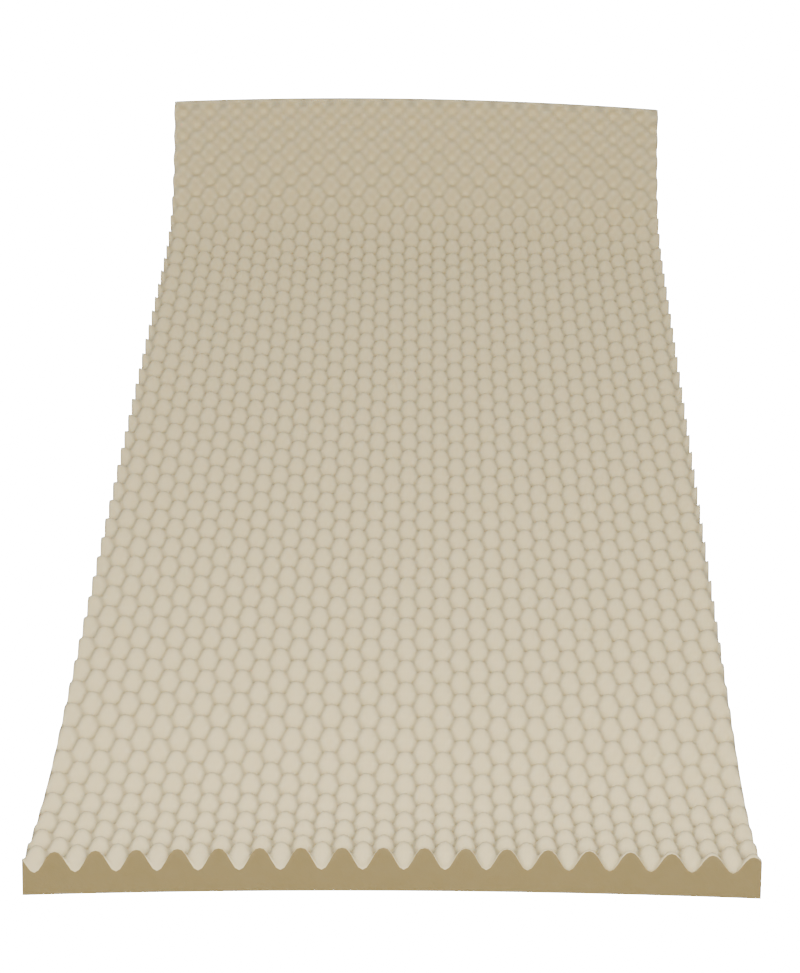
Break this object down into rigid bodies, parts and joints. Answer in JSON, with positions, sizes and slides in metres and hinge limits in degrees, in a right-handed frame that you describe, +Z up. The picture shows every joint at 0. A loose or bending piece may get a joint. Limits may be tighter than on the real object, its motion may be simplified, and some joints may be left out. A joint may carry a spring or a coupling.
{
  "type": "mattress topper",
  "caption": "Convoluted foam mattress topper: a flat pad with staggered rounded bumps on top, lying flat with both ends curled up from having been rolled.",
  "frame": {"origin": "middle of the pad's footprint, on the surface it rests on", "axes": "+Y along the pad towards the end that curls up more, +X across it, +Z up"},
  "size_m": [0.838, 1.7474, 0.2266],
  "materials": {
    "foam": "matt open-cell polyurethane foam, cream, bumpy on top and cut flat at the edges"
  },
  "bodies": {
    "root": {"foam_pad": "foam"}
  },
  "joints": []
}
